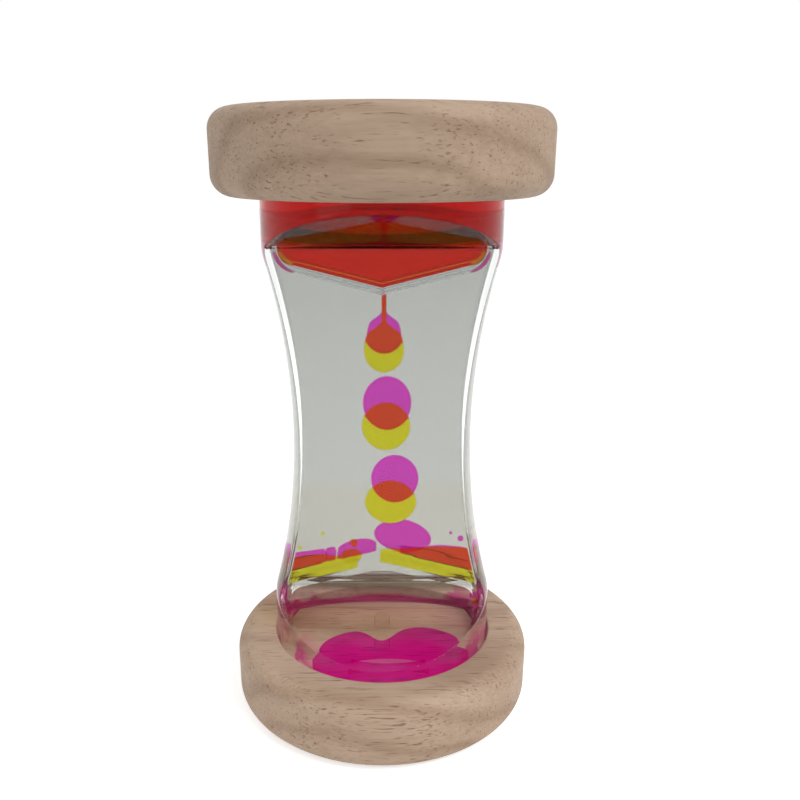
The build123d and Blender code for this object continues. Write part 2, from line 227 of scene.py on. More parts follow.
def section(rise, half, inset, edge):
    """Closed section of the hourglass form at a height: round sides, flat windows, softened corners."""
    radius = flare_radius_at(rise, inset)
    reach = math.asin(min(half / radius, 1.0))
    corner_x, corner_y = radius * math.cos(reach), radius * math.sin(reach)
    soft = edge * min(1.0, corner_x / 2.0)
    quarter = []
    for share in (0.0, 0.15, 0.3, 0.45, 0.6, 0.75, 0.88, 0.97, 1.0):
        turn = (reach - soft / radius) * share
        quarter.append((radius * math.cos(turn), radius * math.sin(turn)))
    arc_end, flat_start = quarter[-1], (corner_x - soft, corner_y)
    for share in (0.2, 0.4, 0.6, 0.8):
        a, b, c = (1 - share) ** 2, 2 * share * (1 - share), share ** 2
        quarter.append((a * arc_end[0] + b * corner_x + c * flat_start[0],
                        a * arc_end[1] + b * corner_y + c * flat_start[1]))
    for share in (1.0, 0.97, 0.85, 0.6, 0.3):
        quarter.append((flat_start[0] * share, corner_y))
    half_loop = quarter + [(0.0, corner_y)] + [(-x, y) for x, y in reversed(quarter)]
    return half_loop + [(x, -y) for x, y in reversed(half_loop[1:-1])]


def hourglass_surface(inset, edge):
    """Rows of section points from the body's lower end to its upper end."""
    rows = window_rows(inset)
    both = [(-rise, half) for rise, half in reversed(rows)] + rows[1:]
    return [[(x, y, MIDDLE + rise) for x, y in section(rise, half, inset, edge)] for rise, half in both]


def clear_shell(material, inner_material, rear_material):
    """The moulded hourglass: polished outside, its rear half, and an inside wall that the oil wets."""
    outer, inner = hourglass_surface(0.0, OUTER_CORNER), hourglass_surface(WALL, INNER_CORNER)
    columns = len(outer[0])
    rows = outer + list(reversed(inner))
    points = [point for row in rows for point in row]
    faces = grid_faces(len(rows), columns, closed_rows=True)
    shell = make_piece("clear_hourglass_shell", points, faces, material)
    for extra in (inner_material, rear_material):
        shell.data.materials.append(extra)
    wetted, rear, level = 1, 2, 0.98
    for face in shell.data.polygons:
        outward = face.normal.x * face.center.x + face.normal.y * face.center.y
        if outward < 0 and abs(face.normal.z) < level and inside_wall(face.center):
            face.material_index = wetted
        elif face.center.y > DIVIDER_FACE * MM:
            face.material_index = rear
    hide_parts("clear_body", "clear_oil_front", "clear_oil_back",
                "chamber_oil_front", "chamber_oil_back")


def inside_wall(centre):
    """True for a face on the inner surface of the shell."""
    x, y, z = (v / MM for v in centre)
    rise = z - MIDDLE
    radius = math.hypot(x, y)
    rows = window_rows(WALL / 2)
    half = half_at(rows, abs(rise), rows[-1][1])
    return radius < flare_radius_at(rise, WALL / 2) and abs(y) < half


def drop_body(name, body, node, material, place, half_width, rise, fall, side,
              neck=None, lean=0.0, depth=3.3):
    """A free drop: an egg from the front, squeezed in depth by the cell. A neck holds it to its thread.

    The neck is (height above the drop's middle where it starts, thread radius, height of the thread's end).
    """
    rows, columns = 56, 64
    levels = []
    for i in range(rows + 1):
        turn = math.pi * i / rows
        up = -math.cos(turn)
        height = up * (rise if up > 0 else fall)
        width = half_width * math.sin(turn)
        levels.append((height, width))
    if neck:
        start, thread, end = neck
        shoulder, slimming = 0.55, 0.35
        levels = [(h, w) for h, w in levels if h < start * shoulder]
        last_h, last_w = levels[-1]
        for i in range(1, 25):
            share = i / 24
            ease = (1 - share) ** 2 * (1 + 2 * share) * (1 - slimming * share)
            levels.append((last_h + (start - last_h) * share, thread + (last_w - thread) * ease))
        levels += [(start + (end - start) * i / 12, thread) for i in range(1, 12)]
        levels += [(end, thread * 0.9), (end, 0.0)]
    points = []
    for height, width in levels:
        deep = (width ** -4 + depth ** -4) ** -0.25 if width > 1e-6 else 0.0
        for column in range(columns):
            turn = 2 * math.pi * column / columns
            x = width * math.cos(turn)
            leaning_x = x * math.cos(lean) - height * math.sin(lean)
            leaning_z = x * math.sin(lean) + height * math.cos(lean)
            points.append((place[0] + leaning_x, side * CELL_MIDDLE + deep * math.sin(turn),
                           place[1] + leaning_z))
    drop = make_piece(name, points, grid_faces(len(levels), columns), material, body)
    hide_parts(node)


def ball(name, body, material, places):
    """Round beads or specks in one piece."""
    rows, columns = 20, 32
    points, faces = [], []
    for x, y, z, radius in places:
        start = len(points)
        for i in range(rows + 1):
            turn = math.pi * i / rows
            for column in range(columns):
                swing = 2 * math.pi * column / columns
                ring = radius * math.sin(turn)
                points.append((x + ring * math.cos(swing), y + ring * math.sin(swing),
                               z - radius * math.cos(turn)))
        faces += [tuple(start + corner for corner in face) for face in grid_faces(rows + 1, columns)]
    piece = make_piece(name, points, faces, material, body)
    return piece


def smooth_outline(corners):
    """Closed smooth line through given corners."""
    steps, line = 6, []
    count = len(corners)
    for i in range(count):
        a, b, c, d = (Vector(corners[(i + k - 1) % count]) for k in range(4))
        for step in range(steps):
            t = step / steps
            line.append(0.5 * ((2 * b) + (c - a) * t + (2 * a - 5 * b + 4 * c - d) * t ** 2
                               + (3 * b - a - 3 * c + d) * t ** 3))
    return line


def without_folds(line):
    """Leave out the spots at which a closed line turns back on itself."""
    count = len(line)
    return [spot for i, spot in enumerate(line)
            if (spot - line[i - 1]).dot(line[(i + 1) % count] - spot) > 0]


def puddle(name, node, material, corners, low, high, rim):
    """Liquid with a round rim between the two faces of a cell; its outline keeps inside the wall."""
    line = []
    for spot in smooth_outline(corners):
        reach = cell_reach(spot.y)
        line.append(Vector((max(-reach, min(reach, spot.x)), spot.y)))
    shortest = 0.05
    line = [spot for i, spot in enumerate(line) if (spot - line[i - 1]).length > shortest]
    line = without_folds(without_folds(line))
    count = len(line)
    area = sum(line[i - 1].x * line[i].y - line[i].x * line[i - 1].y for i in range(count))
    if area < 0:
        line.reverse()
    inward = []
    for i in range(count):
        along = (line[(i + 1) % count] - line[i - 1]).normalized()
        inward.append(Vector((-along.y, along.x)))
    rings, depths = 7, []
    middle, half = (low + high) / 2, (high - low) / 2
    for i in range(rings + 1):
        turn = math.pi / 2 * i / rings
        depths.append((rim * (1 - math.cos(turn)), half - rim + rim * math.sin(turn)))
    profile = [(inset, middle - out) for inset, out in reversed(depths)]
    profile += [(inset, middle + out) for inset, out in depths]
    points = []
    for inset, level in profile:
        for spot, turn_in in zip(line, inward):
            at = spot + turn_in * inset
            points.append((at.x, level, at.y))
    faces = grid_faces(len(profile), count)
    faces.append(tuple(range(count)))
    faces.append(tuple(range((len(profile) - 1) * count, len(profile) * count)))
    piece = make_piece(name, points, faces, material)
    flat_faces(piece)
    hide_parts(node)


def cell_reach(height):
    """How far across a cell is open in front of its window at a height."""
    return math.sqrt(flare_radius_at(height - MIDDLE, WALL) ** 2 - WINDOW_FACE ** 2) - BEFORE_WALL


def dividing_sheet(material):
    """The clear plate between the cells, a hair thinner than the trays that are bonded to it."""
    reach = span("divider_plate")[1][2] - MIDDLE - FILM
    rows = [reach * i / 60 for i in range(61)]
    both = [-rise for rise in reversed(rows)] + rows[1:]
    side = [(flare_radius_at(rise, WALL) - 2 * FILM, MIDDLE + rise) for rise in both]
    outline = side + [(-x, z) for x, z in reversed(side)]
    half = DIVIDER_FACE - SHEET_RELIEF
    count = len(outline)
    points = [(x, y, z) for y in (-half, half) for x, z in outline]
    faces = [(i, (i + 1) % count, count + (i + 1) % count, count + i) for i in range(count)]
    faces += [(i, i + 1, count - 2 - i, count - 1 - i) for i in range(count // 2 - 1)]
    last = 2 * count - 1
    faces += [(count + i, last - i, last - 1 - i, count + i + 1) for i in range(count // 2 - 1)]
    sheet = make_piece("dividing_sheet", points, faces, material)
    flat_faces(sheet)
    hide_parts("divider_plate")


def liquid_store(name, node, side, material):
    """Liquid over an upper tray: a V shaped foot inside the tray, then the whole half of the body."""
    steps = 96
    tray_wall = TRAY_HALF_WIDTH - FILM
    apex = 2 * MIDDLE - ROOF_RIDGE + TRAY_PLATE + FILM
    lip = span("upper_front_tray")[1][2]
    top = span("upper_end_cap")[0][2] - STORE_TO_CAP
    corner_reach, corner_rise = TRAY_CORNER * 0.9, TRAY_CORNER * 0.8
    levels = []
    turn_start = apex + (tray_wall - corner_reach) * RAMP_SLOPE
    for share in (0.0, 0.05, 0.2, 0.4, 0.6, 0.8, 1.0):
        height = apex + (turn_start - apex) * share
        levels.append((height, max((height - apex) / RAMP_SLOPE, 0.02), None))
    for i in range(1, 9):
        turn = math.pi / 2 * i / 8
        reach = tray_wall - corner_reach * (1 - math.sin(turn))
        levels.append((turn_start + corner_rise * (1 - math.cos(turn)), reach, None))
    levels += [(lip, tray_wall, None), (lip + 0.02, None, WALL + FILM)]
    levels += [(lip + (top - lip) * i / 40, None, WALL + FILM) for i in range(1, 41)]
    rows = window_rows(WALL + FILM)
    points = []
    for height, reach, inset in levels:
        half = WINDOW_FACE - FILM
        radius = None
        if inset:
            rise = height - MIDDLE
            radius = flare_radius_at(rise, inset)
            half = half_at(rows, rise, half)
            reach = math.sqrt(radius ** 2 - (DIVIDER_FACE + FILM) ** 2)
        near = DIVIDER_FACE + FILM
        points.append((reach, side * near, height))
        for i in range(1, steps):
            x = reach * math.cos(math.pi * i / steps)
            deep = half if radius is None else min(half, math.sqrt(radius ** 2 - x ** 2))
            points.append((x, side * max(deep, near), height))
        points.append((-reach, side * near, height))
    columns = steps + 1
    faces = grid_faces(len(levels), columns)
    faces += [tuple(range(columns)), tuple(range((len(levels) - 1) * columns, len(levels) * columns))]
    store = make_piece(name, points, faces, material)
    flat_faces(store)
    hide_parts(node)


def over_ramp(spots):
    """Corners given as (across, height over the lower tray's roof)."""
    return [(across, ROOF_RIDGE - abs(across) * RAMP_SLOPE + rise) for across, rise in spots]


# ---- finishes ----
def fresh_material(name):
    """An empty material with its surface and output."""
    material = bpy.data.materials.new(name)
    material.use_nodes = True
    tree = material.node_tree
    tree.nodes.clear()
    output = tree.nodes.new("ShaderNodeOutputMaterial")
    surface = tree.nodes.new("ShaderNodeBsdfPrincipled")
    tree.links.new(surface.outputs["BSDF"], output.inputs["Surface"])
    return material, tree, surface, output


def group_socket(group, name, kind, out, value=None):
    direction = "OUTPUT" if out else "INPUT"
    socket = group.interface.new_socket(name=name, in_out=direction, socket_type=kind)
    if value is not None:
        socket.default_value = value


def group_ends(group):
    """Input and output node of a group."""
    return group.nodes.new("NodeGroupInput"), group.nodes.new("NodeGroupOutput")


def add_math(tree, operation, first, second=None, clamp=False):
    node = tree.nodes.new("ShaderNodeMath")
    node.operation = operation
    node.use_clamp = clamp
    for index, value in enumerate((first, second)):
        if value is None:
            continue
        if hasattr(value, "links"):
            tree.links.new(value, node.inputs[index])
        else:
            node.inputs[index].default_value = value
    return node.outputs[0]


def add_mix(tree, share, first, second):
    node = tree.nodes.new("ShaderNodeMix")
    node.data_type = "RGBA"
    for name, value in (("Factor", share), ("A", first), ("B", second)):
        socket = node.inputs[name]
        if hasattr(value, "links"):
            tree.links.new(value, socket)
        else:
            socket.default_value = value
    return node.outputs["Result"]


def add_noise(tree, vector, scale=1.0, detail=3.0, roughness=0.5):
    node = tree.nodes.new("ShaderNodeTexNoise")
    tree.links.new(vector, node.inputs["Vector"])
    node.inputs["Scale"].default_value = scale
    node.inputs["Detail"].default_value = detail
    node.inputs["Roughness"].default_value = roughness
    return node.outputs["Fac"]


def add_stretch(tree, vector, stretch, shift=(0, 0, 0)):
    node = tree.nodes.new("ShaderNodeMapping")
    tree.links.new(vector, node.inputs["Vector"])
    node.inputs["Scale"].default_value = stretch
    node.inputs["Location"].default_value = shift
    return node.outputs["Vector"]


def add_range(tree, value, low, high, to_low=0.0, to_high=1.0):
    node = tree.nodes.new("ShaderNodeMapRange")
    tree.links.new(value, node.inputs["Value"])
    limits = {"From Min": low, "From Max": high, "To Min": to_low, "To Max": to_high}
    for name, number in limits.items():
        node.inputs[name].default_value = number
    return node.outputs["Result"]


# board grain, in metres: where the tree's middle lies and how dense its growth layers are
HEART_BEHIND, HEART_BELOW, HEART_FLATNESS = 0.052, 0.012, 1.6
LAYERS_PER_METRE, LAYER_WANDER, LAYER_SHARPNESS = 85.0, 4.2, 2.5
LAYER_TONE, CLOUD_TONE, FINE_TONE = 0.55, 0.5, 0.18
PORE_START, PORE_END, PORE_CROWDING = 0.715, 0.865, 0.25


def board_grain_group():
    """Pale board: growth layers round an axis along X, open pores as short flecks, soft colour drift."""
    group = bpy.data.node_groups.new("board_grain", "ShaderNodeTree")
    group_socket(group, "Place", "NodeSocketVector", False)
    group_socket(group, "Light Wood", "NodeSocketColor", False, (0.62, 0.47, 0.33, 1))
    group_socket(group, "Dark Wood", "NodeSocketColor", False, (0.50, 0.35, 0.23, 1))
    group_socket(group, "Pore Colour", "NodeSocketColor", False, (0.20, 0.11, 0.06, 1))
    group_socket(group, "Pore Amount", "NodeSocketFloat", False, 0.5)
    group_socket(group, "Layer Drift", "NodeSocketFloat", False, 1.0)
    group_socket(group, "Colour", "NodeSocketColor", True)
    group_socket(group, "Pores", "NodeSocketFloat", True)
    group_socket(group, "Height", "NodeSocketFloat", True)
    inlet, outlet = group_ends(group)
    place = inlet.outputs["Place"]
    # growth layers: distance from an axis along the grain, bent by slow noise
    bend = add_noise(group, add_stretch(group, place, (8, 22, 22)), detail=2.0)
    split = group.nodes.new("ShaderNodeSeparateXYZ")
    group.links.new(place, split.inputs[0])
    deep = add_math(group, "ADD", split.outputs["Y"], HEART_BEHIND)
    tall = add_math(group, "ADD", split.outputs["Z"], HEART_BELOW)
    tall = add_math(group, "MULTIPLY", tall, HEART_FLATNESS)
    deep_squared = add_math(group, "MULTIPLY", deep, deep)
    tall_squared = add_math(group, "MULTIPLY", tall, tall)
    away = add_math(group, "SQRT", add_math(group, "ADD", deep_squared, tall_squared))
    drift = add_math(group, "SUBTRACT", bend, 0.5)
    drift = add_math(group, "MULTIPLY", drift, inlet.outputs["Layer Drift"])
    wander = add_math(group, "MULTIPLY", drift, LAYER_WANDER)
    layers = add_math(group, "ADD", add_math(group, "MULTIPLY", away, LAYERS_PER_METRE), wander)
    turn = add_math(group, "MULTIPLY", layers, 2 * math.pi)
    half_crest = add_math(group, "MULTIPLY", add_math(group, "SINE", turn), 0.5)
    late = add_math(group, "POWER", add_math(group, "ADD", half_crest, 0.5), LAYER_SHARPNESS)
    # slow drift of colour along the board
    cloud = add_noise(group, add_stretch(group, place, (14, 60, 60)), roughness=0.55)
    fine = add_noise(group, add_stretch(group, place, (70, 1100, 1100)), roughness=0.6)
    # pores: short flecks along the grain, dots on end grain
    fleck = add_noise(group, add_stretch(group, place, (170, 2300, 2300)), detail=1.5)
    where = add_noise(group, add_stretch(group, place, (60, 260, 260)), detail=2.0)
    crowd = add_math(group, "MULTIPLY", where, PORE_CROWDING)
    pore = add_range(group, add_math(group, "ADD", fleck, crowd), PORE_START, PORE_END)
    pore = add_math(group, "MULTIPLY", pore, inlet.outputs["Pore Amount"], clamp=True)
    cloud_tone = add_range(group, cloud, 0.3, 0.7, 0.0, CLOUD_TONE)
    fine_tone = add_range(group, fine, 0.35, 0.65, -FINE_TONE, FINE_TONE)
    tone = add_math(group, "ADD", add_math(group, "MULTIPLY", late, LAYER_TONE), cloud_tone)
    tone = add_math(group, "ADD", tone, fine_tone, clamp=True)
    base = add_mix(group, tone, inlet.outputs["Light Wood"], inlet.outputs["Dark Wood"])
    colour = add_mix(group, pore, base, inlet.outputs["Pore Colour"])
    height = add_math(group, "SUBTRACT", add_math(group, "MULTIPLY", fine, 0.25), pore)
    group.links.new(colour, outlet.inputs["Colour"])
    group.links.new(pore, outlet.inputs["Pores"])
    group.links.new(height, outlet.inputs["Height"])
    return group


def handling_group():
    """Faint smears and hairline rubs of a handled, polished surface."""
    group = bpy.data.node_groups.new("handling_marks", "ShaderNodeTree")
    group_socket(group, "Place", "NodeSocketVector", False)
    group_socket(group, "Clean Roughness", "NodeSocketFloat", False, 0.02)
    group_socket(group, "Smear Roughness", "NodeSocketFloat", False, 0.08)
    group_socket(group, "Roughness", "NodeSocketFloat", True)
    inlet, outlet = group_ends(group)
    place = inlet.outputs["Place"]
    broad = add_noise(group, add_stretch(group, place, (70, 70, 50)), roughness=0.6)
    smear = add_range(group, broad, 0.55, 0.75)
    narrow = add_noise(group, add_stretch(group, place, (1600, 1600, 120)), detail=1.0)
    rub = add_math(group, "MULTIPLY", add_range(group, narrow, 0.68, 0.74), 0.3)
    marks = add_math(group, "ADD", smear, rub, clamp=True)
    clean = inlet.outputs["Clean Roughness"]
    spread = add_math(group, "SUBTRACT", inlet.outputs["Smear Roughness"], clean)
    rough = add_math(group, "ADD", clean, add_math(group, "MULTIPLY", marks, spread))
    group.links.new(rough, outlet.inputs["Roughness"])
    return group


BOARD_GRAIN = board_grain_group()
HANDLING = handling_group()


def object_place(tree):
    return tree.nodes.new("ShaderNodeTexCoord").outputs["Object"]


def wood_finish(name, light, dark, pore, shift):
    """Bare sanded board."""
    material, tree, surface = fresh_material(name)[:3]
    grain = tree.nodes.new("ShaderNodeGroup")
    grain.node_tree = BOARD_GRAIN
    tree.links.new(add_stretch(tree, object_place(tree), (1, 1, 1), shift), grain.inputs["Place"])
    grain.inputs["Light Wood"].default_value = (*light, 1)
    grain.inputs["Dark Wood"].default_value = (*dark, 1)
    grain.inputs["Pore Colour"].default_value = (*pore, 1)
    grain.inputs["Pore Amount"].default_value = 0.75
    tree.links.new(grain.outputs["Colour"], surface.inputs["Base Color"])
    board_roughness, pore_roughness = 0.62, 0.85
    rough = add_range(tree, grain.outputs["Pores"], 0.0, 1.0, board_roughness, pore_roughness)
    tree.links.new(rough, surface.inputs["Roughness"])
    surface.inputs["IOR"].default_value = 1.4
    bump = tree.nodes.new("ShaderNodeBump")
    bump.inputs["Strength"].default_value = 0.35
    bump.inputs["Distance"].default_value = 0.0002
    tree.links.new(grain.outputs["Height"], bump.inputs["Height"])
    tree.links.new(bump.outputs["Normal"], surface.inputs["Normal"])
    return material


def see_through(name, tint, bending, shade, smear=0.04, clearness=1.0):
    """Polished clear or tinted finish; its shadow is only the tint, because light passes it."""
    material, tree, surface, output = fresh_material(name)
    surface.inputs["Base Color"].default_value = (*tint, 1)
    surface.inputs["Transmission Weight"].default_value = clearness
    surface.inputs["IOR"].default_value = bending
    marks = tree.nodes.new("ShaderNodeGroup")
    marks.node_tree = HANDLING
    tree.links.new(object_place(tree), marks.inputs["Place"])
    marks.inputs["Clean Roughness"].default_value = 0.0
    marks.inputs["Smear Roughness"].default_value = smear
    tree.links.new(marks.outputs["Roughness"], surface.inputs["Roughness"])
    passing = tree.nodes.new("ShaderNodeBsdfTransparent")
    passing.inputs["Color"].default_value = (*shade, 1)
    path = tree.nodes.new("ShaderNodeLightPath")
    mix = tree.nodes.new("ShaderNodeMixShader")
    tree.links.new(path.outputs["Is Shadow Ray"], mix.inputs["Fac"])
    tree.links.new(surface.outputs["BSDF"], mix.inputs[1])
    tree.links.new(passing.outputs["BSDF"], mix.inputs[2])
    tree.links.new(mix.outputs["Shader"], output.inputs["Surface"])
    return material


def base_colour(material):
    """The tint's socket on a finish."""
    nodes_of_finish = material.node_tree.nodes
    surface = next(node for node in nodes_of_finish if node.type == "BSDF_PRINCIPLED")
    return surface.inputs["Base Color"]


def over_height(tree, value, start, end):
    """0 to 1 between two heights or depths in millimetres."""
    return add_range(tree, value, start * MM, end * MM)


# heights and places, in millimetres, at which a tint changes
CHAMBER_TOP = MIDDLE - 44
# painted shade of the surroundings seen through the body: warmer grey below this horizon, cooler grey above
WARM_GREY_TOP, COOL_GREY_START = MIDDLE - 16, MIDDLE - 13
SMEAR_TOP, SMEAR_START, FOOT_TOP = 26, 14, 16.4
# from this height up the inner wall carries painted red light, the colour of light that has passed the
# liquids
RED_LIGHT_START = MIDDLE + 44.5


def painted_shade_by_height(material, chamber, low, high):
    """Painted shade on the clear divider: nearly clear in the bottom chamber, then warm grey, and cooler
    grey higher up, standing for the dim surroundings seen through the body below and above their horizon.
    """
    tree = material.node_tree
    split = tree.nodes.new("ShaderNodeSeparateXYZ")
    tree.links.new(object_place(tree), split.inputs[0])
    height = split.outputs["Z"]
    higher = over_height(tree, height, WARM_GREY_TOP, COOL_GREY_START)
    above_chamber = over_height(tree, height, CHAMBER_TOP, CHAMBER_TOP + 2)
    tint = add_mix(tree, higher, (*low, 1), (*high, 1))
    tree.links.new(add_mix(tree, above_chamber, (*chamber, 1), tint), base_colour(material))


def film_and_painted_light_on_wall(material, film, painted_red_light):
    """Smears of dyed liquid on the wall of the bottom chamber, and painted red light on the wall beside the
    stores, standing for light coloured by the liquids.
    """
    tree = material.node_tree
    colour = base_colour(material)
    place = object_place(tree)
    split = tree.nodes.new("ShaderNodeSeparateXYZ")
    tree.links.new(place, split.inputs[0])
    across = add_math(tree, "ABSOLUTE", split.outputs["X"])
    low_down = over_height(tree, split.outputs["Z"], SMEAR_TOP, SMEAR_TOP - 6)
    at_side = over_height(tree, across, SMEAR_START, SMEAR_START + 5)
    patch = add_range(tree, add_noise(tree, place, 160.0, 2.0), 0.42, 0.52)
    smear = add_math(tree, "MULTIPLY", add_math(tree, "MULTIPLY", low_down, at_side), patch, clamp=True)
    # liquid drawn up along the foot of the rear wall
    foot = over_height(tree, split.outputs["Z"], FOOT_TOP, FOOT_TOP - 0.8)
    rear = over_height(tree, split.outputs["Y"], 6, 9)
    share = add_math(tree, "MAXIMUM", smear, add_math(tree, "MULTIPLY", foot, rear))
    # painted light: the red of light filtered by the stored liquids, laid on the clear wall
    red_light_beside_stores = over_height(tree, split.outputs["Z"], RED_LIGHT_START, RED_LIGHT_START + 1.5)
    tint = add_mix(tree, share, tuple(colour.default_value), (*film, 1))
    tree.links.new(add_mix(tree, red_light_beside_stores, tint, (*painted_red_light, 1)), colour)


# woods: pale layer, dark layer, pores, and how far the board lies from the other one
wood = wood_finish("wood", (0.505, 0.37, 0.27), (0.355, 0.24, 0.163), (0.18, 0.09, 0.06), (0, 0, 0))
upper_wood = wood_finish("upper_wood", (0.425, 0.31, 0.225), (0.29, 0.20, 0.135), (0.17, 0.08, 0.05),
                         (0.013, 0.004, -0.129))

# see-through finishes: tint, how much they bend light, tint of the shadow
PLASTIC, PLASTIC_SHADOW = (0.93, 0.95, 0.94), (0.93, 0.94, 0.93)
YELLOW_SHADOW, MAGENTA_SHADOW = (0.97, 0.95, 0.30), (0.97, 0.30, 0.80)
IN_OIL = 1.014
clear_plastic = see_through("clear_plastic", PLASTIC, 1.24, PLASTIC_SHADOW, smear=0.03)
rear_plastic = see_through("rear_plastic", PLASTIC, 1.12, PLASTIC_SHADOW, smear=0.03)
wetted_wall = see_through("wetted_wall", PLASTIC, 1.02, (0.97, 0.97, 0.97))
# dye film on the chamber wall, and painted red light on the wall beside the stores
film_and_painted_light_on_wall(wetted_wall, (0.96, 0.05, 0.60), (0.97, 0.16, 0.12))
clear_plate = see_through("clear_plate", (0.94, 0.95, 0.95), 1.012, (0.95, 0.95, 0.95))
# painted shade: the clear divider is tinted grey for the dim surroundings seen through the body, and nearly
# clear in the bottom chamber
divider_painted_shade = see_through("divider_painted_shade", (0.48, 0.50, 0.47), 1.01, (0.85, 0.87, 0.85))
painted_shade_by_height(divider_painted_shade, (0.93, 0.84, 0.85), (0.42, 0.405, 0.37), (0.42, 0.415, 0.40))
cap_finish = see_through("cap_finish", (0.96, 0.95, 0.94), 1.02, (0.95, 0.95, 0.95))
# painted light: the clear upper cap is tinted red and partly opaque, so that it shows the red light that
# reaches the wood seat through the liquids
cap_painted_red_light = see_through("cap_painted_red_light", (0.92, 0.10, 0.06), 1.02, (0.98, 0.60, 0.50), clearness=0.3)
tinted_yellow = see_through("tinted_yellow", (0.96, 0.90, 0.03), IN_OIL, YELLOW_SHADOW)
deep_yellow = see_through("deep_yellow", (0.99, 0.32, 0.03), IN_OIL, (0.97, 0.90, 0.25))
tinted_magenta = see_through("tinted_magenta", (0.98, 0.10, 0.80), IN_OIL, MAGENTA_SHADOW)
deep_magenta = see_through("deep_magenta", (0.99, 0.10, 0.50), IN_OIL, MAGENTA_SHADOW)


def finish_node(node, material):
    """Give a CAD node a finish in its own slots."""
    piece = nodes[node]
    if not piece.material_slots:
        piece.data.materials.append(material)
    for slot in piece.material_slots:
        slot.material = material


# ---- the timer ----
wooden_disc("turned_lower_wood_disc", wood, False)
wooden_disc("turned_upper_wood_disc", upper_wood, True)
clear_shell(clear_plastic, wetted_wall, rear_plastic)
for node in ("upper_front_tray", "upper_back_tray", "lower_front_tray", "lower_back_tray"):
    finish_node(node, clear_plate)
dividing_sheet(divider_painted_shade)
for node in ("lower_end_cap", "upper_end_cap", "front_fill_plug", "back_fill_plug"):
    finish_node(node, cap_finish)
# the upper cap takes the painted red light finish
finish_node("upper_end_cap", cap_painted_red_light)
liquid_store("yellow_waiting", "yellow_store", -1, deep_yellow)
liquid_store("magenta_waiting", "magenta_store", 1, deep_magenta)
finish_node("magenta_floor_pool", tinted_magenta)

# free drops: middle across, its height, half width, rise, fall
THREAD_END, NECK_RADIUS = 104.6, 0.55
MAGENTA_DROPS = ((0.5, 93.5, 4.1, 6.3, 3.9), (1.25, 77.3, 5.9, 6.6, 6.7), (3.2, 57.6, 5.95, 6.1, 6.1))
YELLOW_DROPS = ((0.45, 91.8, 4.6, 7.0, 5.0), (0.95, 73.6, 5.75, 5.7, 5.8), (2.1, 54.2, 6.25, 5.3, 5.3))
for colour, material, side, drops in (("magenta", tinted_magenta, 1, MAGENTA_DROPS),
                                      ("yellow", tinted_yellow, -1, YELLOW_DROPS)):
    for index, (across, height, half_width, rise, fall) in enumerate(drops):
        node = f"{colour}_drop_{index + 1}"
        neck = (rise, NECK_RADIUS, THREAD_END - height) if index == 0 else None
        drop_body(f"falling_{node}", node, node, material, (across, height), half_width, rise, fall,
                  side, neck)
LANDED_ACROSS, LANDED_OVER_ROOF, LANDED_LEAN = 5.3, 4.05, math.radians(10)
landed_place = (LANDED_ACROSS, ROOF_RIDGE - LANDED_ACROSS * RAMP_SLOPE + LANDED_OVER_ROOF)
drop_body("landed_drop", ROOT, "magenta_landed_drop", tinted_magenta, landed_place, 7.4, 4.2, 4.0, 1,
          lean=-LANDED_LEAN)
drop_body("small_resting_drop", ROOT, "small_yellow_drop", tinted_yellow, (-7.6, 39.7), 2.6, 1.6, 1.6, -1,
          depth=2.4)

# pools on the roof of the lower trays
CELL_GAP, RIM, NARROW_RIM = 0.4, 0.2, 0.15
FRONT = (-WINDOW_FACE + CELL_GAP, -DIVIDER_FACE - CELL_GAP)
BACK = (DIVIDER_FACE + CELL_GAP, WINDOW_FACE - CELL_GAP)
puddle("yellow_right_puddle", "yellow_right_pool", tinted_yellow,
       over_ramp([(-0.5, 0.4), (0.4, 1.4), (2.6, 2.1), (6.0, 3.0), (10.0, 4.4), (14.0, 5.5), (18.0, 6.4),
                  (22.0, 7.0), (24.6, 5.6), (24.6, 3.6), (24.6, 1.6), (24.4, 0.1), (20.0, 0.1),
                  (15.0, 0.1), (10.0, 0.1), (5.0, 0.1), (1.0, 0.1)]), *FRONT, RIM)
puddle("yellow_left_puddle", "yellow_left_pool", tinted_yellow,
       over_ramp([(-6.6, 0.1), (-11.0, 0.1), (-16.0, 0.1), (-20.0, 0.1), (-24.4, 0.1), (-24.6, 2.2),
                  (-24.6, 4.4), (-21.5, 4.6), (-16.0, 3.9), (-12.5, 2.7), (-9.0, 1.6), (-6.4, 0.9)]),
       *FRONT, RIM)
puddle("magenta_right_puddle", "magenta_right_pool", tinted_magenta,
       over_ramp([(5.0, 0.1), (5.4, 0.6), (8.0, 0.8), (10.6, 1.1), (12.6, 2.1), (14.8, 2.9), (18.0, 3.5),
                  (21.5, 3.9), (24.6, 3.3), (24.6, 1.8), (24.4, 0.1), (20.0, 0.1), (15.0, 0.1),
                  (10.0, 0.1)]), *BACK, RIM)
puddle("magenta_left_puddle", "magenta_left_pool", tinted_magenta,
       over_ramp([(-14.3, 0.1), (-14.7, 1.0), (-15.3, 1.9), (-18.5, 2.3), (-21.8, 2.6), (-24.6, 2.7),
                  (-24.6, 1.4), (-24.4, 0.1), (-21.0, 0.1), (-17.5, 0.1)]), *BACK, RIM)
puddle("magenta_strip_puddle", "magenta_strip_pool", tinted_magenta,
       over_ramp([(-12.0, 0.1), (-12.1, 0.9), (-12.4, 1.7), (-13.4, 1.9), (-14.6, 1.8), (-14.2, 0.9),
                  (-13.8, 0.1)]), *BACK, NARROW_RIM)
puddle("magenta_blob_puddle", "magenta_blob_pool", tinted_magenta,
       over_ramp([(-1.7, 0.2), (-2.2, 1.0), (-3.6, 1.9), (-6.0, 2.4), (-8.6, 2.4), (-10.6, 1.8),
                  (-11.5, 1.0), (-10.8, 0.1), (-6.0, 0.1)]), *BACK, RIM)

